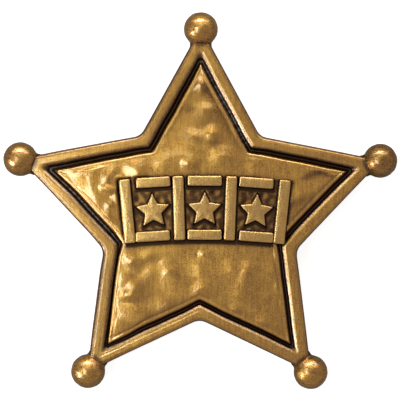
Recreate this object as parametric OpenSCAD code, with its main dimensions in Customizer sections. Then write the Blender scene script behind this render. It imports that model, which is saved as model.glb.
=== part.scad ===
// Five-pointed star badge with ball tips, a grooved border, a hammered field,
// a row of raised tiles and small stars across it, and a brooch pin on its back.
// It lies face up on its five balls, with the top point towards +Y.
// The origin is on that surface, under the middle of the badge's outline box.

/* [Star] */
// Width over the two side balls
badge_w = 70; // [64:0.5:84]
// Distance from the centre to the sharp corner between two points
notch_r = 18.1; // [16:0.1:19]
// Rounding of the outline between two points
notch_round = 2.5; // [0.8:0.1:3.5]
// How far a point's sharp tip runs past the middle of its ball
tip_past_ball = 0.55; // [0.3:0.05:1]
// Thickness of the casting at its rim
plate_t = 2.4; // [2:0.1:3.2]
// How much higher the middle of the plate lies than its tips
dome_h = 2.2; // [1.8:0.1:3]

/* [Balls] */
// Diameter of the ball on each point
ball_d = 6.1; // [5.6:0.1:7.4]

/* [Border] */
// Width of the bevel along the outer edge
bevel_w = 0.65; // [0.3:0.05:0.9]
// Height of that bevel
bevel_h = 0.6; // [0.3:0.05:1]
// Width of the flat rim
rim_w = 1.15; // [0.8:0.05:1.5]
// Width of the slope from the rim down to the groove
slope_w = 0.7; // [0.4:0.05:0.9]
// Width of the groove's floor
groove_w = 0.75; // [0.5:0.05:1]
// Depth of the groove below the rim
groove_depth = 0.95; // [0.6:0.05:1.2]
// Rounding of the groove's corners, seen from the front
groove_round = 0.5; // [0.2:0.05:0.7]
// Width of the steep wall from the groove up to the field
wall_w = 0.3; // [0.15:0.05:0.5]

/* [Field] */
// How far the field lies below the rim
field_drop = 0.15; // [0.05:0.05:0.4]
// Rounding of the field's tips, seen from the front
field_round = 0.12; // [0.08:0.02:0.3]
// Depth of the hammered ripples
ripple_depth = 0.12; // [0:0.02:0.2]
// Length of the longest ripple
ripple_l = 9; // [6:0.5:14]

/* [Title relief] */
// Length of the row of raised tiles and small stars
title_w = 29.4; // [26:0.2:32]
// Height of the row
title_h = 11.4; // [10:0.2:12.4]
// How far the row's middle lies to the right of the star's centre
title_right = 0.8; // [-1:0.1:1]
// How far the row's middle lies above the star's centre
title_up = 1.9; // [0:0.1:3]
// How far the ends of its arch hang below the middle
title_arch = 0.8; // [0:0.1:1.6]
// Height of the tiles and small stars above the field
title_rise = 0.9; // [0.6:0.05:1.4]
// Number of small stars, each between two upright tiles
small_count = 3; // [2:1:4]
// Width of the upright tiles
upright_w = 2.1; // [1.4:0.1:2.6]
// Height of the level tiles above and below the small stars
level_h = 1.9; // [1.2:0.1:2.3]
// Clear space between two tiles, and between a tile and a small star
title_gap = 0.4; // [0.25:0.05:0.6]
// Radius of the small stars' inner corners, as a share of their radius
small_notch = 0.5; // [0.4:0.01:0.6]
// Rounding of the tiles' corners, seen from the front
tile_round = 0.4; // [0.2:0.05:0.6]
// Bevel on the edges of the tiles and small stars
edge_bevel = 0.2; // [0.1:0.05:0.3]

/* [Brooch pin] */
// Length of the base bar
bar_l = 30; // [24:0.5:34]
// Width of the base bar
bar_w = 3; // [2.6:0.1:4]
// Thickness of the base bar
bar_t = 0.8; // [0.6:0.05:1]
// How far the bar lies above the star's centre
bar_up = 4; // [2:0.2:6]
// Depth of the bar's seat in the middle of the back
seat_depth = 0.1; // [0.05:0.05:0.3]
// Clear space between the bar and its seat, all round
seat_gap = 0.05; // [0.02:0.01:0.15]
// Diameter of the pin wire
wire_d = 0.9; // [0.7:0.05:1.1]
// Length of the wire's sharpened end
point_l = 2.4; // [1.5:0.1:4]
// Diameter of the flat at the very end of that point
point_d = 0.2; // [0.1:0.05:0.4]
// Clear height between the bar and the wire, for the cloth
cloth_gap = 1.2; // [0.8:0.05:1.3]
// Diameter of the knuckle that the wire comes out of
knuckle_d = 2.3; // [1.8:0.1:2.5]
// Distance of the knuckle and of the catch from the bar's ends
end_inset = 1.8; // [1.6:0.1:3]
// Length of the catch along the wire
catch_l = 2.2; // [1.5:0.1:3]
// Wall of the catch
catch_wall = 0.5; // [0.4:0.05:0.6]
// Clear space between the wire and the catch
catch_gap = 0.15; // [0.1:0.05:0.25]

/* [Hidden] */

POINTS = 5;
point_step = 360 / POINTS;
half_step = point_step / 2;
// The side balls stand this far above the star's centre line
side_angle = 90 - point_step;

// Places of the balls and the corners of the outline
ball_r = ball_d / 2;
ball_circle_r = (badge_w - ball_d) / 2 / cos(side_angle);
tip_r = ball_circle_r + tip_past_ball;
tip_half = atan2(notch_r * sin(half_step), tip_r - notch_r * cos(half_step));
notch_half = tip_half + half_step;
edge_r = tip_r * sin(tip_half);
star_y = -ball_circle_r * (1 - cos(half_step)) / 2;

// The plate's back at the tips lies half a thickness below the ball centres
back_low = ball_r - plate_t / 2;
groove_floor_t = plate_t - groove_depth;

// Points on each ring of the plate
tip_segments = 3;
notch_segments = 4;
side_segments = 10;
outline_tip_round = 0.3;
outline_notch_shrink = 0.2;

// The border from the outline inwards
INSET = 0;
DEPTH = 1;
TIP_ROUND = 2;
NOTCH_ROUND = 3;
rim_in = bevel_w + rim_w;
slope_in = rim_in + slope_w;
floor_in = slope_in + groove_w;
field_in = floor_in + wall_w;
BORDER = [
    // inset, depth below the rim, rounding at the tips, rounding between the points
    [0, bevel_h, outline_tip_round, notch_round],
    [bevel_w, 0, outline_tip_round, notch_round - outline_notch_shrink],
    [rim_in, 0, groove_round, groove_round],
    [slope_in, groove_depth, groove_round, groove_round],
    [floor_in, groove_depth, field_round, groove_round],
    [field_in, field_drop, field_round, groove_round],
];

// Rings inside the field's edge and inside the back's edge
field_ring_count = 11;
back_ring_count = 3;

// Ripples of the field. A higher fade keeps them closer to the field's edge
ripple_fade = 6;
SHARE = 0;
ANGLE = 1;
LENGTH_SHARE = 2;
PHASE = 3;
RIPPLES = [
    // share of the depth, direction, share of the longest length, phase
    [0.40, 80, 0.62, 20],
    [0.25, 25, 1.00, 110],
    [0.20, 140, 0.48, 60],
    [0.15, 55, 0.38, 200],
];

// Places in the title relief, measured from the row's middle before it is arched
corner_segments = 3;
relief_foot_t = groove_floor_t / 2;
column_step = (title_w - upright_w) / small_count;
first_upright_x = (upright_w - title_w) / 2;
first_star_x = first_upright_x + column_step / 2;
level_w = column_step - upright_w - 2 * title_gap;
level_y = (title_h - level_h) / 2;

// A small star fills the width between two uprights, or the height between two level tiles
star_room_h = title_h - 2 * (level_h + title_gap);
small_r = min(level_w / (2 * cos(side_angle)), star_room_h / (1 + cos(half_step)));
small_drop = small_r * (1 - cos(half_step)) / 2;
small_across = small_r * small_notch * sin(half_step);
small_side_l = norm([small_r - small_r * small_notch * cos(half_step), small_across]);
small_edge_r = small_r * small_across / small_side_l;

// Levels of the brooch pin, from the seat down
seat_z = back_z([0, bar_up]) + seat_depth;
bar_z = seat_z - seat_gap - bar_t;
wire_z = bar_z - cloth_gap - wire_d / 2;
knuckle_x = bar_l / 2 - end_inset;
catch_x = -knuckle_x;
catch_bore_d = wire_d + 2 * catch_gap;
catch_d = catch_bore_d + 2 * catch_wall;
post_w = catch_wall * 2;
wire_end_x = catch_x - catch_l / 2 - point_l;

$fn = 64;

// Height of the plate's domed back at a place measured from the star's centre
function back_z(p) = back_low + dome_h * (1 - (p.x * p.x + p.y * p.y) / (ball_circle_r * ball_circle_r));
function rim_z(p) = back_z(p) + plate_t;
function field_z(p) = rim_z(p) - field_drop;

function turned(p, a) = [p.x * cos(a) - p.y * sin(a), p.x * sin(a) + p.y * cos(a)];
function between(a, b, share) = a + (b - a) * share;
function scaled(points, share) = [for (p = points) p * share];

// One closed ring of the star, inset from the outline, with rounded corners
function star_ring(inset, tip_round, notch_round) =
    let (share = (edge_r - inset) / edge_r,
         tip_middle = [tip_r * share - tip_round / sin(tip_half), 0],
         notch_middle = turned([notch_r * share + notch_round / sin(notch_half), 0], half_step),
         tip_arc = [for (i = [0:tip_segments])
             tip_middle + turned([tip_round, 0], (90 - tip_half) * (2 * i / tip_segments - 1))],
         notch_arc = [for (i = [0:notch_segments])
             notch_middle + turned([-notch_round, 0],
                                   half_step + (90 - notch_half) * (1 - 2 * i / notch_segments))],
         next_tip = turned(tip_arc[0], point_step),
         down = [for (i = [1:side_segments - 1])
             between(tip_arc[tip_segments], notch_arc[0], i / side_segments)],
         up = [for (i = [1:side_segments - 1])
             between(notch_arc[notch_segments], next_tip, i / side_segments)],
         one_point = concat(tip_arc, down, notch_arc, up))
    [for (k = [0:POINTS - 1]) each [for (p = one_point) turned(p, 90 + k * point_step)]];

// Height of the ripples at a place, fading out towards the field's edge
function ripple(p, fade) = ripple_depth * fade
    * sum([for (row = RIPPLES)
        row[SHARE] * sin(360 * (p.x * cos(row[ANGLE]) + p.y * sin(row[ANGLE]))
                         / (ripple_l * row[LENGTH_SHARE]) + row[PHASE])]);
function sum(values, i = 0) = i == len(values) ? 0 : values[i] + sum(values, i + 1);

// Closed outlines of a tile and of a small star, inset evenly, round their own middle
function tile_ring(w, h, inset) =
    let (r = tile_round - inset / 2,
         x = w / 2 - inset - r,
         y = h / 2 - inset - r,
         corners = [[x, y], [-x, y], [-x, -y], [x, -y]])
    [for (k = [0:3], i = [0:corner_segments])
        corners[k] + turned([r, 0], 90 * (k + i / corner_segments))];
function small_ring(inset) =
    let (r = small_r * (1 - inset / small_edge_r))
    [for (k = [0:2 * POINTS - 1])
        turned([k % 2 == 0 ? r : r * small_notch, 0], 90 + k * half_step)];

// Sets an outline down at its place in the arched row, square to the arch
function arched(p) = [title_right + p.x, title_up + p.y - title_arch * pow(p.x / (title_w / 2), 2)];
function lean(x) = -atan(2 * title_arch * x / pow(title_w / 2, 2));
function set_down(ring, place) = [for (q = ring) arched(place) + turned(q, lean(place.x))];

// Solid through a stack of closed rings with equal counts, with a point at each end
module ring_solid(rings, low_point, high_point) {
    n = len(rings[0]);
    last = len(rings) - 1;
    points = concat([low_point], [for (ring = rings) each ring], [high_point]);
    low_fan = [for (j = [0:n - 1]) [0, at(0, j, n), at(0, j + 1, n)]];
    walls = [for (i = [0:last - 1], j = [0:n - 1]) each [
        [at(i, j, n), at(i + 1, j, n), at(i + 1, j + 1, n)],
        [at(i, j, n), at(i + 1, j + 1, n), at(i, j + 1, n)]]];
    high_fan = [for (j = [0:n - 1]) [len(points) - 1, at(last, j + 1, n), at(last, j, n)]];
    polyhedron(points, concat(low_fan, walls, high_fan));
}
function at(i, j, n) = 1 + i * n + j % n;

// Domed plate with its border and hammered field
module star_plate() {
    outline = star_ring(0, outline_tip_round, notch_round);
    field = star_ring(field_in, field_round, groove_round);
    back_rings = [for (i = [1:back_ring_count + 1])
        [for (p = scaled(outline, i / (back_ring_count + 1))) [p.x, p.y, back_z(p)]]];
    border_rings = [for (row = BORDER)
        [for (p = star_ring(row[INSET], row[TIP_ROUND], row[NOTCH_ROUND]))
            [p.x, p.y, rim_z(p) - row[DEPTH]]]];
    field_rings = [for (i = [1:field_ring_count])
        let (share = 1 - i / (field_ring_count + 1))
        [for (p = scaled(field, share))
            [p.x, p.y, field_z(p) + ripple(p, 1 - pow(share, ripple_fade))]]];
    ring_solid(concat(back_rings, border_rings, field_rings),
               [0, 0, back_z([0, 0])],
               [0, 0, field_z([0, 0]) + ripple([0, 0], 1)]);
}

// Ball on each point
module ball_tips() {
    for (k = [0:POINTS - 1])
        rotate([0, 0, 90 + k * point_step])
            translate([ball_circle_r, 0, ball_r])
                sphere(r = ball_r);
}

// Raised shape with bevelled edges, whose foot is inside the plate
module raised(outline, top_outline, place) {
    middle = arched(place);
    foot = set_down(outline, place);
    top = set_down(top_outline, place);
    ring_solid([[for (p = foot) [p.x, p.y, back_z(p) + relief_foot_t]],
                [for (p = foot) [p.x, p.y, field_z(p) + title_rise - edge_bevel]],
                [for (p = top) [p.x, p.y, field_z(p) + title_rise]]],
               [middle.x, middle.y, back_z(middle) + relief_foot_t],
               [middle.x, middle.y, field_z(middle) + title_rise]);
}

module tile(w, h, place) {
    raised(tile_ring(w, h, 0), tile_ring(w, h, edge_bevel), place);
}

// Arched row of small stars, with uprights between them and level tiles above and below
module title_relief() {
    for (i = [0:small_count])
        tile(upright_w, title_h, [first_upright_x + i * column_step, 0]);
    for (i = [0:small_count - 1]) {
        x = first_star_x + i * column_step;
        for (side = [-1, 1])
            tile(level_w, level_h, [x, side * level_y]);
        raised(small_ring(0), small_ring(edge_bevel), [x, -small_drop]);
    }
}

// Outline of the base bar, with round ends, grown by a clear space
module bar_outline(grow) {
    width = bar_w + 2 * grow;
    square([bar_l - bar_w, width], center = true);
    for (side = [-1, 1])
        translate([side * (bar_l - bar_w) / 2, 0])
            circle(d = width);
}

// One casting: plate, balls and title relief, with the pin's seat in its back
module star_body() {
    color([0.66, 0.50, 0.25])
        translate([0, star_y, 0])
            difference() {
                union() {
                    star_plate();
                    ball_tips();
                    title_relief();
                }
                translate([0, bar_up, 0])
                    linear_extrude(seat_z)
                        bar_outline(seat_gap);
            }
}

// Knuckle with the block that carries it, which stays within the bar's outline
module knuckle() {
    translate([knuckle_x, 0, wire_z])
        rotate([90, 0, 0])
            cylinder(d = knuckle_d, h = bar_w, center = true);
    intersection() {
        translate([knuckle_x - knuckle_d / 2, -bar_w / 2, wire_z])
            cube([knuckle_d, bar_w, bar_z + bar_t / 2 - wire_z]);
        linear_extrude(bar_z + bar_t)
            bar_outline(0);
    }
}

// Hooked catch, open on one side, round the end of the wire
module catch_hook() {
    translate([catch_x, 0, wire_z])
        rotate([0, 90, 0])
            difference() {
                cylinder(d = catch_d, h = catch_l, center = true);
                cylinder(d = catch_bore_d, h = 2 * catch_l, center = true);
                translate([-catch_bore_d / 2, 0, -catch_l])
                    cube([catch_bore_d, catch_d, 2 * catch_l]);
            }
    translate([catch_x - catch_l / 2, -post_w / 2, wire_z + catch_bore_d / 2 + catch_wall / 2])
        cube([catch_l, post_w, bar_z + bar_t / 2 - wire_z - catch_bore_d / 2 - catch_wall / 2]);
}

// Straight wire from the knuckle through the catch, with a sharpened end
module pin_wire() {
    shank_end_x = wire_end_x + point_l;
    translate([shank_end_x, 0, wire_z])
        rotate([0, 90, 0])
            cylinder(d = wire_d, h = knuckle_x - shank_end_x);
    translate([wire_end_x, 0, wire_z])
        rotate([0, 90, 0])
            cylinder(d1 = point_d, d2 = wire_d, h = point_l);
}

// Closed brooch pin as one plain piece
module brooch_pin() {
    color([0.60, 0.47, 0.24])
        translate([0, star_y + bar_up, 0]) {
            translate([0, 0, bar_z])
                linear_extrude(bar_t)
                    bar_outline(0);
            knuckle();
            catch_hook();
            pin_wire();
        }
}

star_body();
brooch_pin();
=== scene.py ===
"""Looks of the five-pointed star badge with ball tips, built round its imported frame."""

import math

import bmesh
import bpy
import numpy as np
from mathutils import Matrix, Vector


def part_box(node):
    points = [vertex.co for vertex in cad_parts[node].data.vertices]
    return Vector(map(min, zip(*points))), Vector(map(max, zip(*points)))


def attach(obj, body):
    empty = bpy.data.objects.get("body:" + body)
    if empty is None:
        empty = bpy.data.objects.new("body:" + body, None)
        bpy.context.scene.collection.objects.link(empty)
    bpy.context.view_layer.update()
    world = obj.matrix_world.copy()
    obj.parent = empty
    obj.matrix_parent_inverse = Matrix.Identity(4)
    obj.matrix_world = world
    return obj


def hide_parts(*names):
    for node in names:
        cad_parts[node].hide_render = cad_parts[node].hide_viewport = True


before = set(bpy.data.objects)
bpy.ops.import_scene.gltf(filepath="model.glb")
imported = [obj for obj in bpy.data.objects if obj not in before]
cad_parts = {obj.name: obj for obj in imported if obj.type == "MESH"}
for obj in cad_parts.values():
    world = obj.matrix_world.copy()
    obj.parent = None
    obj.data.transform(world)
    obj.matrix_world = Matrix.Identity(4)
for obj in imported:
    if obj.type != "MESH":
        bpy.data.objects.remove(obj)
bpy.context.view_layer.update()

# Sizes are in millimetres unless a comment says otherwise, and MM turns them into metres
MM = 0.001
SEED = 7

# The star, as in the frame
star_low, star_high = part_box("star_body")
badge_w = (star_high.x - star_low.x) / MM
ball_d = 6.1
ball_r = ball_d / 2
notch_r = 18.1
tip_past_ball = 0.55
plate_t = 2.4
dome_h = 2.2
POINTS = 5
point_step = 2 * math.pi / POINTS
half_step = point_step / 2
side_angle = math.pi / 2 - point_step
ball_circle_r = (badge_w - ball_d) / 2 / math.cos(side_angle)
tip_r = ball_circle_r + tip_past_ball
star_y = -ball_circle_r * (1 - math.cos(half_step)) / 2
back_low = ball_r - plate_t / 2

# Border from the outline inwards. Rub is where handling has worn the metal bright
INSET, DEPTH, TIP_ROUND, NOTCH_ROUND, PATINA, RUB = range(6)
BORDER = [
    # inset, depth below the rim, rounding at the tips, rounding between the points, patina (at the outer
    # edge partly painted shade), rub
    (0.10, 0.95, 0.30, 2.50, 0.90, 0.0),
    (0.14, 0.62, 0.30, 2.50, 0.75, 0.0),
    (0.23, 0.37, 0.30, 2.45, 0.45, 0.0),
    (0.36, 0.18, 0.30, 2.42, 0.26, 0.1),
    (0.52, 0.07, 0.30, 2.38, 0.16, 0.3),
    (0.66, 0.05, 0.30, 2.34, 0.24, 0.0),
    (0.80, 0.01, 0.30, 2.30, 0.10, 0.1),
    (0.95, 0.00, 0.30, 2.10, 0.04, 0.1),
    (1.60, 0.00, 0.45, 0.90, 0.02, 0.0),
    (1.86, 0.01, 0.48, 0.60, 0.00, 0.2),
    (2.00, 0.05, 0.50, 0.52, 0.05, 0.5),
    (2.14, 0.13, 0.50, 0.50, 0.22, 0.3),
    (2.32, 0.25, 0.50, 0.50, 0.50, 0.1),
    (2.50, 0.38, 0.50, 0.50, 0.90, 0.0),
    (2.57, 0.60, 0.50, 0.50, 0.95, 0.0),
    (2.65, 0.86, 0.45, 0.50, 1.00, 0.0),
    (2.75, 0.95, 0.35, 0.50, 1.00, 0.0),
    (2.92, 0.94, 0.25, 0.50, 1.00, 0.0),
    (3.06, 0.80, 0.16, 0.50, 0.85, 0.0),
    (3.16, 0.58, 0.14, 0.50, 0.45, 0.0),
    (3.30, 0.38, 0.12, 0.50, 0.22, 0.0),
    (3.43, 0.24, 0.12, 0.50, 0.10, 0.2),
    (3.56, 0.165, 0.12, 0.50, 0.00, 0.5),
    (3.72, 0.15, 0.12, 0.50, 0.04, 0.1),
    (3.90, 0.15, 0.12, 0.50, 0.06, 0.0),
]
field_in = BORDER[-1][INSET]
field_drop = BORDER[-1][DEPTH]
border_step = 0.075

# Softening of the border's corners: its width, its reach in widths and its samples
border_softness = 0.05
softening_reach = 2
softening_samples = 9

# What sets the ten sides apart, counter-clockwise from the left side of the point at +Y.
# The shifts move the outline, the groove's rim side and its field side inwards
RIM_PATINA, EDGE_PATINA_AND_SHADE, EDGE_SHIFT, GROOVE_SHIFT, FIELD_SHIFT, FIELD_PATINA_AND_SHADE, CREASE, GLOSS = range(8)
SIDES = [
    # patina on the rim, share of the patina and painted shade at the outer edge, most on the sides that
    # face down, shifts of outline, groove and field, patina and painted shade along the field's edge,
    # most on the sides away from the light, depth of the crease in the rim, gloss in the groove
    (0.18, 0.50, 0.00, -0.12, 0.08, 0.05, 0.00, 0.0),
    (0.05, 0.00, -0.04, -0.28, 0.00, 0.00, 0.00, 0.0),
    (0.10, 0.80, 0.20, 0.10, 0.40, 0.00, 0.00, 0.7),
    (0.24, 0.00, -0.05, 0.18, -0.32, 0.00, 0.00, 0.0),
    (0.00, 1.00, 0.14, 0.08, 0.12, 0.22, 0.09, 0.0),
    (0.00, 1.00, 0.14, 0.10, 0.12, 0.18, 0.02, 0.0),
    (0.00, 0.50, 0.06, 0.12, 0.05, 0.18, 0.00, 0.0),
    (0.00, 0.80, 0.12, 0.24, 0.34, 0.32, 0.00, 0.0),
    (0.02, 0.10, 0.00, -0.28, -0.05, 0.10, 0.00, 0.0),
    (0.10, 0.60, 0.00, 0.08, 0.12, 0.25, 0.00, 1.0),
]
# How many degrees a side's values hold, to each side of its middle
side_plateau = 10.0

# Insets between which the side values act, and the width of their patina and painted shade along the
# field's edge
edge_shift_to = 1.0
groove_shift_from, groove_shift_to = 1.0, 2.0
field_shift_from, field_shift_to = 2.3, 3.3
rim_patina_from, rim_patina_to = 0.4, 2.2
gloss_from, gloss_to = 2.45, 3.15
side_patina_and_shade_w = 2.4

# Crease in the rim, and the depth from which its edge is worn bright
crease_in, crease_w = 1.55, 0.10
crease_worn = 0.06

# The field falls away at its five tips: width of the fall, its slope and the inset at which it sets in
tip_fall_w = 1.7
tip_fall_slope = 0.10
tip_fall_from = 3.30

# Hand-made unevenness of the groove, and broken gloss in it
uneven_amount = 0.035
uneven_length = 7.0
uneven_fade = 2.0
uneven_seed = SEED + 40
gloss_length = 0.8
gloss_seed = SEED + 61

# Rings of the plate, and the segments of a tip, of a corner between two tips and of a side
plate_segments = (6, 12, 48)
field_ring_count = 82
back_ring_count = 5

# Rounded edge of the back, with the shares of its height at which it has rings
back_edge_round = 0.3
back_edge_shares = (0.35, 1.0)

# Patina of the plate: its back, its outer edge, where the sides that face down also get painted shade,
# the field beside the groove and the seams at the balls
back_patina = 0.45
outer_patina_and_shade = 0.9
field_edge_patina_w = 0.7
seam_grit_patina = 0.55
seam_grit_in = 0.3
seam_grit_w = 0.9

# Title relief: an arched row of raised tiles and small stars
title_w = 29.4
title_h = 11.4
title_right = 0.8
title_up = 1.9
title_arch = 0.8
title_rise = 0.9
small_count = 3
upright_w = 2.1
level_h = 1.9
title_gap = 0.4
tile_round = 0.4
least_tile_round = tile_round / 3
column_step = (title_w - upright_w) / small_count
first_upright_x = (upright_w - title_w) / 2
first_star_x = first_upright_x + column_step / 2
level_w = column_step - upright_w - 2 * title_gap
level_y = (title_h - level_h) / 2
star_room_h = title_h - 2 * (level_h + title_gap)
small_r = min(level_w / (2 * math.cos(side_angle)), star_room_h / (1 + math.cos(half_step)))
small_notch_share = 0.5
small_notch_r = small_r * small_notch_share
small_drop = small_r * (1 - math.cos(half_step)) / 2
small_tip_round = 0.10
small_notch_round = 0.12

# Segments of a small star, as for the plate, and of a tile, whose sides have points at about a gap
small_segments = (4, 4, 10)
tile_round_segments = 6
tile_point_gap = 0.35
least_side_segments = 2

# Edge of a raised piece, and its gently crowned top in shrinking rings
relief_crown = 0.05
RELIEF_EDGE = [
    # inset, rise above the field, patina, rub
    (-0.14, -0.40, 1.00, 0.0),
    (-0.14, 0.03, 1.00, 0.0),
    (-0.04, 0.12, 1.00, 0.0),
    (0.01, 0.45, 0.95, 0.0),
    (0.05, 0.68, 0.55, 0.0),
    (0.12, 0.83, 0.10, 0.8),
    (0.22, 0.89, 0.00, 1.0),
    (0.36, 0.90, 0.00, 0.80),
]
top_shares = (0.8, 0.6, 0.4, 0.2)
top_rub = 0.75

# Patina and painted shadow round the relief: a dark line at the foot and a brown painted shade, shifted
# down so that they are wider below, over the mottled ground
halo_shadow_drop = 0.38
dark_line_from = title_gap / 4
dark_line_w = 0.42
brown_painted_shade_w = 1.3
brown_painted_shade = 0.40
ground_shade = 0.50
ground_mottle = 0.35
ground_mottle_length = 1.6
ground_mottle_seed = SEED + 60

# The hammering fades out beside the relief and, by a share, within the row
calm_w = 0.45
calm_share = 0.8

# Hammer marks: flat facets that face the light and fall away slowly behind.
# Places and half sizes are shares of the ball circle's radius, from the star's centre.
# Facing is the direction that the facet looks, bow how far its ends bend back, in half widths
HAMMER_MARKS = [
    # x, y, half length, half width, facing, bow, steepness
    (0.000, 0.790, 0.030, 0.012, 207, 0.0, 0.27),
    (-0.022, 0.700, 0.028, 0.018, 188, 0.0, 0.24),
    (0.045, 0.665, 0.020, 0.014, 120, 0.0, 0.10),
    (0.022, 0.598, 0.044, 0.016, 94, 0.3, 0.20),
    (0.004, 0.538, 0.036, 0.012, 90, 0.0, 0.13),
    (0.056, 0.476, 0.030, 0.022, 97, 0.3, 0.23),
    (-0.027, 0.455, 0.050, 0.018, 76, 0.3, 0.20),
    (-0.098, 0.360, 0.085, 0.024, 91, 0.8, 0.22),
    (0.112, 0.360, 0.060, 0.024, 95, 0.8, 0.22),
    (-0.087, 0.292, 0.025, 0.018, 170, 0.3, 0.22),
    (0.275, 0.308, 0.036, 0.022, 100, 0.0, 0.11),
    (-0.215, 0.320, 0.040, 0.018, 115, 0.0, 0.13),
    (-0.375, 0.285, 0.050, 0.024, 140, 0.5, 0.18),
    (-0.345, 0.240, 0.030, 0.014, 170, 0.3, 0.17),
    (-0.612, 0.138, 0.130, 0.036, 203, 0.0, 0.18),
    (-0.600, 0.240, 0.050, 0.022, 150, 0.0, 0.10),
    (-0.505, 0.228, 0.044, 0.016, 155, 0.6, 0.31),
    (-0.438, 0.210, 0.026, 0.014, 130, 0.5, 0.25),
    (-0.519, 0.156, 0.016, 0.014, 186, 0.0, 0.30),
    (-0.488, 0.143, 0.016, 0.014, 186, 0.0, 0.30),
    (-0.459, 0.111, 0.024, 0.014, 195, 0.0, 0.28),
    (-0.432, 0.077, 0.022, 0.013, 195, 0.0, 0.28),
    (-0.490, 0.078, 0.022, 0.013, 140, 0.4, 0.24),
    (-0.433, 0.040, 0.022, 0.014, 120, 0.0, 0.16),
    (-0.510, 0.020, 0.036, 0.020, 130, 0.0, 0.14),
    (-0.386, -0.214, 0.026, 0.022, 150, 0.3, 0.21),
    (-0.396, -0.290, 0.034, 0.020, 110, 0.0, 0.07),
    (-0.372, -0.370, 0.040, 0.018, 156, 0.4, 0.24),
    (-0.415, -0.398, 0.022, 0.018, 165, 0.0, 0.24),
    (-0.284, -0.178, 0.034, 0.014, 110, 0.0, 0.11),
    (-0.251, -0.250, 0.040, 0.018, 95, 0.6, 0.17),
    (-0.190, -0.250, 0.040, 0.030, 130, 0.3, 0.18),
    (0.002, -0.181, 0.014, 0.012, 155, 0.0, 0.22),
    (-0.010, -0.235, 0.030, 0.024, 110, 0.3, 0.07),
    (0.004, -0.342, 0.044, 0.018, 112, 0.5, 0.18),
    (-0.360, -0.478, 0.090, 0.026, 88, 0.5, 0.20),
    (-0.280, -0.530, 0.050, 0.022, 70, 0.3, 0.14),
    (-0.192, -0.438, 0.034, 0.022, 105, 0.0, 0.08),
    (0.156, -0.230, 0.036, 0.026, 130, 0.0, 0.11),
    (0.240, -0.240, 0.032, 0.022, 115, 0.4, 0.22),
    (0.222, -0.295, 0.024, 0.016, 120, 0.0, 0.11),
    (0.373, -0.227, 0.034, 0.022, 130, 0.0, 0.11),
    (0.195, -0.366, 0.034, 0.024, 130, 0.0, 0.11),
    (0.406, -0.345, 0.032, 0.014, 150, 0.0, 0.14),
    (0.183, -0.457, 0.030, 0.018, 105, 0.3, 0.13),
    (0.321, -0.523, 0.034, 0.022, 130, 0.0, 0.13),
    (0.560, 0.060, 0.060, 0.026, 125, 0.6, 0.12),
    (0.660, 0.180, 0.070, 0.036, 130, 0.3, 0.08),
    (0.520, 0.170, 0.070, 0.030, 115, 0.8, 0.09),
]

# Growth of all marks, power of their fading towards their ends, reach of their backs in half widths,
# and the width at the field's edge over which the hammering starts
mark_growth = 1.2
mark_power = 2
mark_back = 2.4
mark_fade = 0.4

# Slight waves between the marks, longer along X. The longest is the highest
wave_height = 0.034
wave_stretch = (0.45, 1.0)
wave_lengths = (9.0, 5.0, 2.8)

# Brown stains on the field, placed as the marks are, and crests rubbed clean, which take patina away.
# The angle is that of the long axis
STAINS = [
    # x, y, half length, half width, angle, patina
    (0.576, 0.225, 0.074, 0.022, 25, 0.34),
    (0.517, 0.094, 0.063, 0.024, 40, 0.32),
    (0.656, 0.244, 0.053, 0.020, -15, 0.28),
    (-0.073, 0.413, 0.060, 0.018, -5, 0.16),
    (0.033, 0.666, 0.035, 0.026, -30, 0.16),
    (-0.052, 0.571, 0.045, 0.020, 0, 0.14),
    (0.060, 0.397, 0.055, 0.016, 0, 0.18),
    (-0.258, -0.205, 0.035, 0.022, 20, 0.18),
    (0.000, 0.540, 0.300, 0.200, 90, 0.23),
    (-0.300, -0.400, 0.200, 0.160, 90, 0.17),
    (0.024, 0.600, 0.044, 0.020, 0, -0.24),
    (-0.028, 0.455, 0.055, 0.020, -20, -0.24),
    (0.054, 0.474, 0.034, 0.022, 0, -0.22),
    (-0.100, 0.378, 0.115, 0.024, 8, -0.24),
    (0.112, 0.362, 0.085, 0.026, 0, -0.22),
    (-0.350, -0.475, 0.090, 0.028, -12, -0.17),
]

# Random ground: how many plane waves, and how far their lengths spread
wave_count = 14
wave_spread = (0.7, 1.4)

# Balls, with the waves that make them uneven and their limits. Each ball adds its number to the seeds
ball_subdivisions = 5
ball_brush = (0.3, 1.0, 1.0)
BALL_WAVES = [
    # height, length, stretch, seed
    (0.008, 1.6, (1.0, 1.0, 1.0), SEED + 20),
    (0.009, 0.9, ball_brush, SEED + 30),
    (0.005, 0.4, ball_brush, SEED + 50),
]
ball_wave_up = 0.035
ball_wave_down = 0.07

# Fillets of the necks, and a guard against division by zero at the balls' ends
neck_round = 0.9
neck_top_round = 0.8
near_zero = 1e-9

# Patina of the balls: each ball's own and that of the seam towards the star, and painted shade underneath
# The right ball's larger share darkens it as painted shade, for the light falling off to the right
ball_grit_and_shade = (0.12, 0.16, 0.10, 0.12, 0.28)
ball_seam_patina = 0.7
ball_seam_start = 0.74
ball_seam_w = 0.14
ball_underside_shade = 0.35
ball_underside_shade_start = 0.1
ball_underside_shade_w = 0.5

# Colours of the metal
BRASS = (0.84, 0.465, 0.072, 1)
BROWN_BRASS = (0.48, 0.205, 0.030, 1)
PALE_BRASS = (0.95, 0.62, 0.22, 1)
RED_BROWN = (0.160, 0.071, 0.020, 1)
# Darkest brown, for the patina and for painted shade and shadow
PATINA_AND_SHADE_BROWN = (0.036, 0.015, 0.005, 1)
PIN_BRASS = (0.60, 0.40, 0.16, 1)
PIN_BROWN = (0.34, 0.19, 0.07, 1)

# Noises of the metal: waves a millimetre and detail
tarnish_noise = (0.20, 4)
mottle_noise = (1.1, 3)
grain_noise = (4.6, 2)
fine_noise = (8.0, 2)
streak_noise = (1.0, 3)
pit_noise = (4.2, 1)
pin_spot_noise = (0.8, 4)
noise_roughness = 0.55

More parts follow.
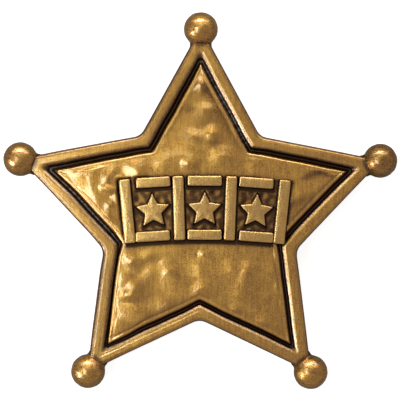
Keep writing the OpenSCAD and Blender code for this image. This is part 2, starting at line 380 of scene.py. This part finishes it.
# Brush marks of each metal: how much its streaks are squeezed along each axis
brass_brush = (3.6, 0.30, 1.0)
ball_brass_brush = (0.35, 3.2, 1.5)
pin_brush = (0.25, 6.0, 6.0)

# How far the noises swing the colour and the patina
mottle_swing, grain_swing, streak_swing = 0.6, 3.0, 1.5
patina_swing = 1.0

# Heights of the noises in the bump
grain_bump, fine_bump, mottle_bump, streak_bump = 0.034, 0.018, 0.012, 0.018
pin_bump = 0.004
coat_bump_share = 0.4

# Ranges over which the colours follow the noises and the patina and painted shade
brass_range = (0.10, 0.80)
red_range = (0.12, 0.50)
dark_range = (0.45, 0.95)
mottle_range = (0.3, 0.7)
pin_spot_range = (0.35, 0.7)
pit_w = 0.10
pit_patina = 0.5
rub_paleness = 0.6

# Roughness of the metal, and its clear gloss, which the patina and painted shade dull
metal_roughness = (0.28, 0.35)
rub_smoothness = 0.04
pin_roughness = (0.28, 0.42)
coat_range = (0.15, 0.70)
dull_coat = 0.22
rub_coat = 0.8
coat_ior = 1.9

# Lamps, all turned to the badge
LIGHTS = [
    # name, azimuth, angle from straight up, distance, width, height in metres, radiance, colour
    ("top_softbox", 90, 60, 0.50, 0.85, 0.15, 2.8, (1, 1, 1)),
    ("top_core", 94, 62, 0.48, 0.26, 0.08, 7.0, (1, 1, 1)),
    ("left_low", 204, 66, 0.45, 0.13, 0.12, 13.0, (1, 1, 1)),
    ("left_high", 182, 27, 0.60, 0.34, 0.13, 5.6, (0.79, 0.93, 1.0)),
    ("top_high", 94, 31, 0.60, 0.30, 0.13, 1.25, (0.96, 1.0, 0.62)),
]

# Faint warm light from all round. It grows to the left, by its tilt along X and Y, and downwards
WORLD_COLOUR = (1, 0.885, 0.73, 1)
world_tilt = (-0.45, 0.10)
world_range = (-0.5, 0.5)
world_strength = (0.31, 0.37)
world_low_gain = 0.06

# White card under the badge, in metres, as the camera sees it and as the metal mirrors it
floor_half = 1.5
FLOOR_COLOUR = (0.6, 0.6, 0.6, 1)
floor_roughness = 0.8
floor_glow = 0.85
MIRRORED_FLOOR = (0.28, 0.255, 0.23, 1)

# Camera straight above: its lens and sensor, the width that it sees at the height of the balls' middles,
# its place beside the frame's origin and its turn in degrees
camera_lens = 250
camera_sensor = 36
view_w = 71.0
camera_shift = (-0.02, 0.06)
camera_turn = 0.25


def turned(points, angle):
    """Points of the plane turned about the origin."""
    points = np.atleast_2d(np.asarray(points, float))
    c, s = math.cos(angle), math.sin(angle)
    return np.column_stack([points[:, 0] * c - points[:, 1] * s, points[:, 0] * s + points[:, 1] * c])


def arc(middle, radius, start, end, segments):
    """Points of an arc, both ends included."""
    angles = np.linspace(start, end, segments + 1)
    return np.column_stack([middle[0] + radius * np.cos(angles), middle[1] + radius * np.sin(angles)])


def between(start, end, segments):
    """Points between two places, without the two."""
    shares = np.arange(1, segments)[:, None] / segments
    return start + (end - start) * shares


def with_z(p, z):
    """Points of the plane with their heights."""
    return np.column_stack([p, z])


def smooth_step(x):
    """Smooth rise from 0 at 0 to 1 at 1."""
    x = np.clip(x, 0, 1)
    return x * x * (3 - 2 * x)


def waves(p, length, seed):
    """Smooth random ground of about unit height, from plane waves in seeded directions."""
    rng = np.random.default_rng(seed)
    total = np.zeros(len(p))
    for _ in range(wave_count):
        direction = rng.normal(size=p.shape[1])
        direction /= np.linalg.norm(direction)
        wave = rng.uniform(*wave_spread) * length
        total += np.cos(2 * math.pi * (p @ direction) / wave + rng.uniform(0, 2 * math.pi))
    return total / math.sqrt(wave_count / 2)


class Star:
    """Five-pointed outline whose rings are inset evenly and have rounded corners."""

    def __init__(self, outer_r, inner_r, segments):
        self.outer_r, self.inner_r, self.segments = outer_r, inner_r, segments
        across = inner_r * math.sin(half_step)
        self.tip_half = math.atan2(across, outer_r - inner_r * math.cos(half_step))
        self.notch_half = self.tip_half + half_step
        self.edge_r = outer_r * math.sin(self.tip_half)

    def ring(self, inset, tip_round, notch_round):
        """One closed ring, counter-clockwise from the point at +Y."""
        share = (self.edge_r - inset) / self.edge_r
        tips, notches, sides = self.segments
        tip_middle = (self.outer_r * share - tip_round / math.sin(self.tip_half), 0)
        notch_out = self.inner_r * share + notch_round / math.sin(self.notch_half)
        notch_middle = turned((notch_out, 0), half_step)[0]
        open_tip = math.pi / 2 - self.tip_half
        open_notch = math.pi / 2 - self.notch_half
        tip_arc = arc(tip_middle, tip_round, -open_tip, open_tip, tips)
        # A notch's arc has its middle outside the star, so its radius is negative
        notch_arc = arc(notch_middle, -notch_round,
                        half_step + open_notch, half_step - open_notch, notches)
        next_tip = turned(tip_arc[0], point_step)[0]
        one_point = np.vstack([tip_arc, between(tip_arc[-1], notch_arc[0], sides),
                               notch_arc, between(notch_arc[-1], next_tip, sides)])
        return np.vstack([turned(one_point, math.pi / 2 + k * point_step) for k in range(POINTS)])

    def corners(self):
        """The ten sharp corners."""
        radii = [self.outer_r, self.inner_r] * POINTS
        return np.vstack([turned((r, 0), math.pi / 2 + k * half_step) for k, r in enumerate(radii)])


plate_star = Star(tip_r, notch_r, plate_segments)
small_star = Star(small_r, small_notch_r, small_segments)


def back_z(p):
    """Height of the domed back at places measured from the star's centre."""
    return back_low + dome_h * (1 - (p[:, 0] ** 2 + p[:, 1] ** 2) / ball_circle_r ** 2)


def rim_z(p):
    """Height of the rim."""
    return back_z(p) + plate_t


def field_z(p):
    """Height of the field without its hammering."""
    return rim_z(p) - field_drop


def hammered(p):
    """Height of the hammer marks and the slight waves between them."""
    height = np.zeros(len(p))
    for x, y, length, width, facing, bow, steepness in HAMMER_MARKS:
        length, width = length * ball_circle_r * mark_growth, width * ball_circle_r * mark_growth
        look = np.array([math.cos(math.radians(facing)), math.sin(math.radians(facing))])
        off = p - np.array([x, y]) * ball_circle_r
        along = off @ (-look[1], look[0]) / length
        ahead = off @ look / width + bow * along ** 2
        rise = np.clip((1 - ahead) / 2, 0, 1)
        behind = np.exp(-(np.clip(-1 - ahead, 0, None) / mark_back) ** 2)
        height += 2 * steepness * width * rise * behind * np.exp(-np.abs(along) ** mark_power)
    for i, length in enumerate(wave_lengths):
        height += wave_height * length / wave_lengths[0] * waves(p * wave_stretch, length, SEED + i)
    return height


def stains(p):
    """Patina of the field's stains."""
    total = np.zeros(len(p))
    for x, y, length, width, angle, patina_and_shade in STAINS:
        off = turned(p / ball_circle_r - (x, y), -math.radians(angle)) / (length, width)
        total += patina_and_shade * np.exp(-(off ** 2).sum(axis=1))
    return total


def arched(place):
    """Place of the flat title row, set on its arch."""
    x, y = place
    return np.array([title_right + x, title_up + y - title_arch * (x / (title_w / 2)) ** 2])


def set_down(ring, place):
    """Outline set down at its place in the arched row, square to the arch."""
    lean = -math.atan(2 * title_arch * place[0] / (title_w / 2) ** 2)
    return turned(ring, lean) + arched(place)


def tile_corners(half_w, half_h):
    """Corners of a tile round its own middle, counter-clockwise from the upper right."""
    return np.array([(1, 1), (-1, 1), (-1, -1), (1, -1)]) * (half_w, half_h)


def tile_ring(w, h, inset):
    """One closed ring of a tile with rounded corners, round its own middle."""
    r = max(tile_round - inset, least_tile_round)
    corners = tile_corners(w / 2 - inset - r, h / 2 - inset - r)
    quarter = math.pi / 2
    arcs = [arc(corner, r, k * quarter, (k + 1) * quarter, tile_round_segments)
            for k, corner in enumerate(corners)]
    parts = []
    for k, side in enumerate((w, h, w, h)):
        segments = max(least_side_segments, round(side / tile_point_gap))
        parts += [arcs[k], between(arcs[k][-1], arcs[(k + 1) % 4][0], segments)]
    return np.vstack(parts)


def small_ring(inset):
    """One closed ring of a small star."""
    return small_star.ring(inset, small_tip_round, small_notch_round)


def upright_ring(inset):
    """One closed ring of an upright tile."""
    return tile_ring(upright_w, title_h, inset)


def level_ring(inset):
    """One closed ring of a level tile."""
    return tile_ring(level_w, level_h, inset)


def title_pieces():
    """Name, outline function, sharp corners and place of each raised piece of the row."""
    upright_corners = tile_corners(upright_w / 2, title_h / 2)
    level_corners = tile_corners(level_w / 2, level_h / 2)
    pieces = []
    for i in range(small_count + 1):
        x = first_upright_x + i * column_step
        pieces.append((f"upright_tile_{i + 1}", upright_ring, upright_corners, (x, 0)))
    for i in range(small_count):
        x = first_star_x + i * column_step
        pieces.append((f"upper_tile_{i + 1}", level_ring, level_corners, (x, level_y)))
        pieces.append((f"lower_tile_{i + 1}", level_ring, level_corners, (x, -level_y)))
        pieces.append((f"small_star_{i + 1}", small_ring, small_star.corners(), (x, -small_drop)))
    return pieces


def outline_distance(p, corners):
    """Distance of places outside a closed outline, and zero inside it."""
    nearest = np.full(len(p), np.inf)
    inside = np.zeros(len(p), bool)
    for a, b in zip(corners, np.roll(corners, -1, axis=0)):
        edge = b - a
        share = np.clip(((p - a) @ edge) / (edge @ edge), 0, 1)
        nearest = np.minimum(nearest, np.linalg.norm(p - a - share[:, None] * edge, axis=1))
        # A level edge crosses the height of no place, so that any rise does for it
        crosses = (a[1] > p[:, 1]) != (b[1] > p[:, 1])
        rise = edge[1] if edge[1] else 1
        inside ^= crosses & (p[:, 0] < a[0] + (p[:, 1] - a[1]) * edge[0] / rise)
    return np.where(inside, 0, nearest)


def relief_distance(p):
    """Distance to the nearest raised piece of the title row."""
    return np.min([outline_distance(p, set_down(corners, place))
                   for _, _, corners, place in title_pieces()], axis=0)


def ball_distance(p):
    """Distance of places from the middle of the nearest ball, seen from above."""
    middles = [turned((ball_circle_r, 0), math.pi / 2 + k * point_step)[0] for k in range(POINTS)]
    return np.min([np.linalg.norm(p - middle, axis=1) for middle in middles], axis=0)


def inside_row(p):
    """1 within the title row's outline and 0 outside it."""
    x = p[:, 0] - title_right
    y = p[:, 1] - title_up + title_arch * (x / (title_w / 2)) ** 2
    return ((np.abs(x) < title_w / 2) & (np.abs(y) < title_h / 2)).astype(float)


def relief_patina_and_shadow(p):
    """Patina at the foot of the raised pieces and a painted shadow: a dark line and a brown shade,
    shifted down so that they are wider below, over the row's mottled ground.
    """
    # Shifted down, the dark line and the brown shade become a painted shadow below the pieces
    gap = relief_distance(p + (0, halo_shadow_drop))
    line = 1 - smooth_step((gap - dark_line_from) / dark_line_w)
    shade = brown_painted_shade * (1 - smooth_step(gap / brown_painted_shade_w))
    ground = ground_shade * (1 + ground_mottle * waves(p, ground_mottle_length, ground_mottle_seed))
    return np.maximum(np.maximum(line, shade), np.clip(ground, 0, 1) * inside_row(p))


def softened_border():
    """Border rows at even steps, with the corners of their depths softened."""
    rows = np.array(BORDER)
    insets = np.arange(rows[0, INSET], field_in + border_step / 2, border_step)
    columns = [np.interp(insets, rows[:, INSET], rows[:, k]) for k in range(rows.shape[1])]
    kernel_x = np.linspace(-softening_reach, softening_reach, softening_samples)
    kernel = np.exp(-kernel_x ** 2 / 2)
    kernel /= kernel.sum()
    depth = np.zeros(len(insets))
    for weight, x in zip(kernel, kernel_x):
        depth += weight * np.interp(insets + x * border_softness, rows[:, INSET], rows[:, DEPTH])
    columns[DEPTH] = depth
    return np.column_stack(columns)


def side_values(ring):
    """Row of the side table at each point of a ring, blended from side to side."""
    angle = np.degrees(np.arctan2(ring[:, 1], ring[:, 0])) - 90
    width = math.degrees(half_step)
    middles = width * (np.arange(len(SIDES)) + 0.5)
    places = np.column_stack([middles - side_plateau, middles + side_plateau]).ravel()
    return np.column_stack([np.interp(angle, places, np.repeat(column, 2), period=360)
                            for column in zip(*SIDES)])


def made(name, points, faces, shades):
    """Object from points in millimetres round the star's centre, with patina and painted shade, and rub,
    on each point.
    """
    mesh = bpy.data.meshes.new(name)
    points = np.asarray(points, float) + (0, star_y, 0)
    mesh.from_pydata((points * MM).tolist(), [], faces)
    for k, label in enumerate(("patina_and_shade", "rub")):
        attribute = mesh.attributes.new(label, "FLOAT", "POINT")
        attribute.data.foreach_set("value", np.ascontiguousarray(shades[:, k], np.float32))
    mesh.polygons.foreach_set("use_smooth", [True] * len(mesh.polygons))
    mesh.validate()
    mesh.update()
    piece = bpy.data.objects.new(name, mesh)
    bpy.context.scene.collection.objects.link(piece)
    return piece


def ring_mesh(name, rings, shades, low_point, high_point):
    """Closed mesh through a stack of equal rings, with a point at each end.
    shades holds the patina and painted shade, and the rub, of each ring."""
    count = len(rings[0])
    points = np.vstack([[low_point], *rings, [high_point]])
    last = len(rings) - 1
    ids = 1 + np.arange(len(rings) * count).reshape(len(rings), count)
    after = np.roll(ids, -1, axis=1)
    faces = [(0, int(a), int(b)) for a, b in zip(after[0], ids[0])]
    for i in range(last):
        faces += [tuple(int(v) for v in quad)
                  for quad in zip(ids[i], after[i], after[i + 1], ids[i + 1])]
    faces += [(len(points) - 1, int(a), int(b)) for a, b in zip(ids[last], after[last])]
    shades = [np.broadcast_to(shade, (count, 2)) for shade in shades]
    shades = np.vstack([shades[0][:1], *shades, shades[-1][:1]])
    return made(name, points, faces, shades)


class Plate:
    """Domed plate with its border, groove and hammered field, as rings from the back's middle
    out to the edge and in again to the field's middle, each with its patina, painted shade and rub."""

    def __init__(self):
        self.outline = self.border_ring(BORDER[0])
        self.field = self.border_ring(BORDER[-1])
        self.sides = side_values(self.field)
        along = np.roll(self.field, -1, axis=0) - np.roll(self.field, 1, axis=0)
        lengths = np.linalg.norm(along, axis=1)
        self.inward = np.column_stack([-along[:, 1], along[:, 0]]) / lengths[:, None]
        self.uneven = uneven_amount * waves(self.field, uneven_length, uneven_seed)
        self.gloss = (waves(self.field, gloss_length, gloss_seed) > 0) * self.sides[:, GLOSS]
        self.fall_r = tip_r * (1 - field_in / plate_star.edge_r) - tip_fall_w
        self.rings, self.shades = [], []

    def border_ring(self, row):
        """Even ring of a border row."""
        return plate_star.ring(row[INSET], row[TIP_ROUND], row[NOTCH_ROUND])

    def shifted(self, ring, inset):
        """Ring at an inset with the shifts of its sides, whose share follows the inset."""
        edge = 1 - smooth_step(inset / edge_shift_to)
        groove = smooth_step((inset - groove_shift_from) / (groove_shift_to - groove_shift_from))
        field = smooth_step((inset - field_shift_from) / (field_shift_to - field_shift_from))
        after = 1 - smooth_step((inset - field_in) / uneven_fade)
        amount = (edge * self.sides[:, EDGE_SHIFT] + groove * (1 - field) * self.sides[:, GROOVE_SHIFT]
                  + field * after * self.sides[:, FIELD_SHIFT] + groove * after * self.uneven)
        return ring + self.inward * amount[:, None]

    def fall(self, p):
        """How far the surface falls at the field's tips."""
        return tip_fall_slope * np.clip(np.linalg.norm(p, axis=1) - self.fall_r, 0, None)

    def add(self, p, z, patina_and_shade, rub):
        """One more ring."""
        self.rings.append(with_z(p, z))
        self.shades.append(np.column_stack([np.broadcast_to(shade, len(p)) for shade in (patina_and_shade, rub)]))

    def add_back(self):
        """Rings of the back and of its rounded edge."""
        edge = plate_star.ring(back_edge_round, BORDER[0][TIP_ROUND], BORDER[0][NOTCH_ROUND])
        for i in range(1, back_ring_count + 1):
            p = edge * i / back_ring_count
            self.add(p, back_z(p), back_patina, 0)
        p = self.shifted(self.outline, BORDER[0][INSET])
        for share in back_edge_shares:
            # Patina and painted shade on the back's edge, darker on the sides that face down
            self.add(p, back_z(p) + share * back_edge_round, outer_patina_and_shade * self.sides[:, EDGE_PATINA_AND_SHADE], 0)

    def add_border(self):
        """Rings of the outer edge, the rim and the groove."""
        for row in softened_border():
            inset = row[INSET]
            p = self.shifted(self.border_ring(row), inset)
            crease = self.sides[:, CREASE] * smooth_step((inset - crease_in) / crease_w)
            on_field = smooth_step((inset - tip_fall_from) / (field_in - tip_fall_from))
            z = rim_z(p) - np.maximum(row[DEPTH], crease) - on_field * self.fall(p)
            on_rim = smooth_step(inset / rim_patina_from)
            # The outer edge's patina is scaled by side, darker where the sides face down: painted shade
            outer = (1 - on_rim) * (1 - self.sides[:, EDGE_PATINA_AND_SHADE])
            rim = on_rim * (inset < rim_patina_to) * self.sides[:, RIM_PATINA]
            seam_gap = ball_distance(p) - ball_r + seam_grit_in
            seam = seam_grit_patina * (1 - smooth_step(seam_gap / seam_grit_w))
            rub = np.full(len(p), row[RUB])
            if gloss_from < inset < gloss_to:
                rub = np.maximum(rub, self.gloss)
            if crease_in - crease_w < inset < crease_in + crease_w:
                rub = np.maximum(rub, np.clip(self.sides[:, CREASE] / crease_worn, 0, 1))
            self.add(p, z, np.maximum(row[PATINA] * (1 - outer) + rim, seam), rub)

    def add_field(self):
        """Rings of the hammered field."""
        edge_distance = plate_star.edge_r - field_in
        for i in range(1, field_ring_count + 1):
            share = 1 - i / (field_ring_count + 1)
            from_edge = (1 - share) * edge_distance
            p = self.shifted(self.field * share, field_in + from_edge)
            calm = smooth_step(relief_distance(p) / calm_w) * (1 - calm_share * inside_row(p))
            marks = hammered(p) * smooth_step(from_edge / mark_fade) * calm
            edge = BORDER[-1][PATINA] * (1 - smooth_step(from_edge / field_edge_patina_w))
            # Patina and painted shade along the field's edge, strongest on the sides away from the light
            side = self.sides[:, FIELD_PATINA_AND_SHADE] * (1 - smooth_step(from_edge / side_patina_and_shade_w))
            patina_and_shade = np.maximum(relief_patina_and_shadow(p), np.maximum(edge, side)) + stains(p)
            self.add(p, field_z(p) + marks - self.fall(p), patina_and_shade, 0)

    def piece(self):
        """The whole plate."""
        self.add_back()
        self.add_border()
        self.add_field()
        middle = np.zeros((1, 2))
        low = (0, 0, float(back_z(middle)[0]))
        high = (0, 0, float(field_z(middle)[0]))
        return ring_mesh("star_plate", self.rings, self.shades, low, high)


def neck_radius(angle, lean, offset, rounding):
    """Distance from a ball's middle to the fillet between the ball and a flat side of its arm.
    The angle is from the way in, the side leans away from it, and passes the middle at the offset."""
    reach = ball_r + rounding
    meets_ball = lean + math.asin((rounding + offset) / reach)
    foot = (reach * math.cos(meets_ball) + rounding * math.sin(lean),
            reach * math.sin(meets_ball) - rounding * math.cos(lean))
    off = meets_ball - np.clip(angle, math.atan2(foot[1], foot[0]), meets_ball)
    return reach * np.cos(off) - np.sqrt(rounding ** 2 - (reach * np.sin(off)) ** 2)


def ball_tip(k):
    """Slightly uneven ball with a filleted neck, patina in the seam and painted shade underneath."""
    bm = bmesh.new()
    bmesh.ops.create_icosphere(bm, subdivisions=ball_subdivisions, radius=1)
    directions = np.array([v.co for v in bm.verts])
    faces = [tuple(v.index for v in f.verts) for f in bm.faces]
    bm.free()
    rough = sum(height * waves(directions * ball_r * stretch, length, seed + k)
                for height, length, stretch, seed in BALL_WAVES)
    place = turned((ball_circle_r, 0), math.pi / 2 + k * point_step)[0]
    inward = np.array([-place[0], -place[1], 0]) / ball_circle_r
    toward_star = directions @ inward
    angle = np.arccos(np.clip(toward_star, -1, 1))
    # Flatness is 1 beside the arm and 0 above and below it
    flatness = 1 - directions[:, 2] ** 2 / np.clip(1 - toward_star ** 2, near_zero, None)
    tip_half = plate_star.tip_half
    side = neck_radius(angle, tip_half, tip_past_ball * math.sin(tip_half), neck_round)
    top = neck_radius(angle, 0, plate_t / 2, neck_top_round)
    # The waves stay below the ball's own radius, so that it keeps its size
    lift = np.clip(rough, -ball_wave_down, ball_wave_up) - ball_wave_up
    radius = side * flatness + top * (1 - flatness) + lift
    points = directions * radius[:, None] + (place[0], place[1], ball_r)
    seam = ball_seam_patina * smooth_step((toward_star - ball_seam_start) / ball_seam_w)
    # Painted shade on the underside, darker the more a point faces down
    under = ball_underside_shade * smooth_step((-directions[:, 2] - ball_underside_shade_start) / ball_underside_shade_w)
    patina_and_shade = np.clip(ball_grit_and_shade[k] + seam + under, 0, 1)
    return made(f"ball_tip_{k + 1}", points, faces, np.column_stack([patina_and_shade, np.zeros(len(points))]))


def raised(name, ring, place):
    """Raised piece with rounded edges and a fillet at its foot, from the function of its rings."""
    rings, shades = [], []
    for inset, rise, patina_and_shade, rub in RELIEF_EDGE:
        p = set_down(ring(inset), place)
        rings.append(with_z(p, field_z(p) + rise))
        shades.append((patina_and_shade, rub))
    top_inset = RELIEF_EDGE[-1][0]
    for share in top_shares:
        p = set_down(ring(top_inset) * share, place)
        rings.append(with_z(p, field_z(p) + title_rise + relief_crown * (1 - share ** 2)))
        shades.append((0, top_rub))
    middle = arched(place)[None, :]
    base = float(field_z(middle)[0])
    low = (*middle[0], base + RELIEF_EDGE[0][1])
    high = (*middle[0], base + title_rise + relief_crown)
    return ring_mesh(name, rings, shades, low, high)


class Nodes:
    """Short calls for the nodes of a material or a world."""

    # Sockets of a mix node for colours: both inputs and the output
    COLOUR_A, COLOUR_B, MIXED = 6, 7, 2

    def __init__(self, owner):
        owner.use_nodes = True
        self.tree = owner.node_tree
        self.tree.nodes.clear()

    def add(self, kind, inputs=None, **settings):
        """Node of a kind, with its settings and its inputs by name or number."""
        node = self.tree.nodes.new(kind)
        for key, value in settings.items():
            setattr(node, key, value)
        for key, value in (inputs or {}).items():
            self.set(node.inputs[key], value)
        return node

    def set(self, socket, value):
        """Links a socket, or gives it a plain value."""
        if isinstance(value, bpy.types.NodeSocket):
            self.tree.links.new(value, socket)
        else:
            socket.default_value = value

    def math(self, operation, a, b=0.0):
        """Result of a math node."""
        return self.add("ShaderNodeMath", {0: a, 1: b}, operation=operation).outputs[0]

    def times(self, a, b):
        """Product of two values."""
        return self.math("MULTIPLY", a, b)

    def swing(self, value, amount):
        """How far a noise is from its middle, times an amount."""
        return self.times(self.math("SUBTRACT", value, 0.5), amount)

    def total(self, *values):
        """Sum of the values."""
        result = values[0]
        for value in values[1:]:
            result = self.math("ADD", result, value)
        return result

    def mix(self, share, a, b):
        """Colour a where share is 0 and b where it is 1."""
        node = self.add("ShaderNodeMix", {0: share}, data_type="RGBA")
        self.set(node.inputs[self.COLOUR_A], a)
        self.set(node.inputs[self.COLOUR_B], b)
        return node.outputs[self.MIXED]

    def remap(self, value, low, high, to_low=0.0, to_high=1.0):
        """Value moved from one range to another, and kept within it."""
        node = self.add("ShaderNodeMapRange",
                        {"Value": value, "From Min": low, "From Max": high,
                         "To Min": to_low, "To Max": to_high}, clamp=True)
        return node.outputs[0]

    def noise(self, place, scale, detail, stretch=(1, 1, 1)):
        """Noise whose scale is in waves a millimetre, times the stretch along each axis."""
        mapping = self.add("ShaderNodeMapping", {"Vector": place})
        mapping.inputs["Scale"].default_value = [scale / MM * s for s in stretch]
        node = self.add("ShaderNodeTexNoise",
                        {"Vector": mapping.outputs[0], "Scale": 1.0, "Detail": detail,
                         "Roughness": noise_roughness})
        return node.outputs["Fac"]

    def bump(self, height, strength=1.0):
        """Normal from a height in millimetres."""
        node = self.add("ShaderNodeBump", {"Strength": strength, "Distance": MM, "Height": height})
        return node.outputs[0]

    def shade(self, **inputs):
        """Principled shader on the surface, with inputs named by words joined with underscores."""
        named = {key.replace("_", " "): value for key, value in inputs.items()}
        shader = self.add("ShaderNodeBsdfPrincipled", named)
        output = self.add("ShaderNodeOutputMaterial")
        self.tree.links.new(shader.outputs[0], output.inputs["Surface"])


def antique_brass(name, brush, pit_from, coat_roughness):
    """Old brass: brown in the hollows and in painted shade, worn bright on the edges, sandy and finely
    brushed.
    """
    material = bpy.data.materials.new(name)
    n = Nodes(material)
    place = n.add("ShaderNodeTexCoord").outputs["Object"]
    # This attribute holds the patina together with painted shade and shadow
    patina_and_shade = n.add("ShaderNodeAttribute", attribute_name="patina_and_shade").outputs["Fac"]
    rub = n.add("ShaderNodeAttribute", attribute_name="rub").outputs["Fac"]
    tarnish = n.noise(place, *tarnish_noise)
    mottle = n.noise(place, *mottle_noise)
    grain = n.noise(place, *grain_noise)
    fine = n.noise(place, *fine_noise)
    streaks = n.noise(place, *streak_noise, stretch=brush)

    spread = n.total(tarnish, n.swing(mottle, mottle_swing), n.swing(grain, grain_swing),
                     n.swing(streaks, streak_swing))
    colour = n.mix(n.remap(spread, *brass_range), BROWN_BRASS, BRASS)
    colour = n.mix(n.times(rub, rub_paleness), colour, PALE_BRASS)
    pits = n.remap(n.noise(place, *pit_noise), pit_from, pit_from + pit_w, 0.0, pit_patina)
    broken = n.total(patina_and_shade, n.swing(grain, patina_swing), pits)
    colour = n.mix(n.remap(broken, *red_range), colour, RED_BROWN)
    colour = n.mix(n.remap(broken, *dark_range), colour, PATINA_AND_SHADE_BROWN)

    roughness = n.remap(mottle, *mottle_range, *metal_roughness)
    roughness = n.math("SUBTRACT", roughness, n.times(rub, rub_smoothness))
    height = n.total(n.times(grain, grain_bump), n.times(fine, fine_bump),
                     n.times(mottle, mottle_bump), n.times(streaks, streak_bump))
    coated = n.total(n.remap(broken, *coat_range, 1.0, dull_coat), n.times(rub, rub_coat))
    n.shade(Base_Color=colour, Metallic=1.0, Roughness=roughness, Normal=n.bump(height),
            Coat_Weight=n.math("MINIMUM", coated, 1.0), Coat_Roughness=coat_roughness,
            Coat_IOR=coat_ior, Coat_Normal=n.bump(height, coat_bump_share))
    return material


def pin_brass():
    """Plain drawn brass of the pin, brushed along the bar."""
    material = bpy.data.materials.new("pin_brass")
    n = Nodes(material)
    place = n.add("ShaderNodeTexCoord").outputs["Object"]
    streaks = n.noise(place, *streak_noise, stretch=pin_brush)
    spots = n.noise(place, *pin_spot_noise)
    colour = n.mix(n.remap(spots, *pin_spot_range), PIN_BROWN, PIN_BRASS)
    roughness = n.remap(streaks, *mottle_range, *pin_roughness)
    height = n.times(streaks, pin_bump)
    n.shade(Base_Color=colour, Metallic=1.0, Roughness=roughness, Normal=n.bump(height))
    return material


def floor_material():
    """White to the camera, and dim in what the metal mirrors, as a small white card on a dark table."""
    material = bpy.data.materials.new("floor_white")
    n = Nodes(material)
    seen = n.add("ShaderNodeBsdfPrincipled",
                 {"Base Color": FLOOR_COLOUR, "Roughness": floor_roughness,
                  "Emission Color": (1, 1, 1, 1), "Emission Strength": floor_glow})
    mirrored = n.add("ShaderNodeBsdfDiffuse", {"Color": MIRRORED_FLOOR})
    to_camera = n.add("ShaderNodeLightPath").outputs["Is Camera Ray"]
    both = n.add("ShaderNodeMixShader", {0: to_camera, 1: mirrored.outputs[0], 2: seen.outputs[0]})
    output = n.add("ShaderNodeOutputMaterial")
    n.tree.links.new(both.outputs[0], output.inputs["Surface"])
    return material


def toward(azimuth, off_zenith):
    """Unit vector at an azimuth from +X and an angle from straight up, both in degrees."""
    a, z = math.radians(azimuth), math.radians(off_zenith)
    return Vector((math.cos(a) * math.sin(z), math.sin(a) * math.sin(z), math.cos(z)))


def add_floor(scene):
    """Pale floor under the badge."""
    floor_mesh = bpy.data.meshes.new("floor")
    h = floor_half
    floor_mesh.from_pydata([(-h, -h, 0), (h, -h, 0), (h, h, 0), (-h, h, 0)], [], [(0, 1, 2, 3)])
    floor = bpy.data.objects.new("floor", floor_mesh)
    scene.collection.objects.link(floor)
    floor.data.materials.append(floor_material())


def add_lamps(scene):
    """Soft lamps, all turned to the badge, each with the power that gives its radiance."""
    for name, azimuth, off, distance, width, height, radiance, colour in LIGHTS:
        light = bpy.data.lights.new(name, "AREA")
        light.shape = "RECTANGLE"
        light.size, light.size_y = width, height
        light.energy = radiance * math.pi * width * height
        light.color = colour
        lamp = bpy.data.objects.new(name, light)
        scene.collection.objects.link(lamp)
        lamp.location = toward(azimuth, off) * distance
        lamp.rotation_euler = (-lamp.location).to_track_quat("-Z", "Y").to_euler()
        lamp.visible_camera = False


def add_world(scene):
    """Warm light from all round, brighter to one side and near the horizon."""
    world = bpy.data.worlds.new("studio")
    scene.world = world
    n = Nodes(world)
    direction = n.add("ShaderNodeTexCoord").outputs["Generated"]
    split = n.add("ShaderNodeSeparateXYZ", {"Vector": direction})
    x, y, z = split.outputs
    lit = n.total(n.times(x, world_tilt[0]), n.times(y, world_tilt[1]))
    low_down = n.times(n.math("SUBTRACT", 1.0, z), world_low_gain)
    strength = n.total(n.remap(lit, *world_range, *world_strength), low_down)
    background = n.add("ShaderNodeBackground", {"Color": WORLD_COLOUR, "Strength": strength})
    output = n.add("ShaderNodeOutputWorld")
    n.tree.links.new(background.outputs[0], output.inputs["Surface"])


def add_camera(scene):
    """Camera straight above the badge."""
    camera_data = bpy.data.cameras.new("camera")
    camera_data.lens = camera_lens
    camera_data.sensor_width = camera_sensor
    camera = bpy.data.objects.new("camera", camera_data)
    scene.collection.objects.link(camera)
    camera_h = ball_r + view_w * camera_lens / camera_sensor
    camera.location = (camera_shift[0] * MM, camera_shift[1] * MM, camera_h * MM)
    camera.rotation_euler = (0, 0, math.radians(camera_turn))
    scene.camera = camera


def studio():
    """Pale floor, soft lamps, world light and the camera."""
    scene = bpy.context.scene
    scene.view_settings.view_transform = "Standard"
    add_floor(scene)
    add_lamps(scene)
    add_world(scene)
    add_camera(scene)


brass = antique_brass("antique_brass", brass_brush, pit_from=0.70, coat_roughness=0.14)
ball_brass = antique_brass("ball_brass", ball_brass_brush, pit_from=0.60, coat_roughness=0.13)
plate = Plate().piece()
balls = [ball_tip(k) for k in range(POINTS)]
relief = [raised(name, ring, place) for name, ring, _, place in title_pieces()]
for piece in [plate, *relief]:
    piece.data.materials.append(brass)
for piece in balls:
    piece.data.materials.append(ball_brass)
for piece in [plate, *balls, *relief]:
    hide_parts("star_body")
    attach(piece, "root")

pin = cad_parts["brooch_pin"]
pin.data.materials.clear()
pin.data.materials.append(pin_brass())

studio()
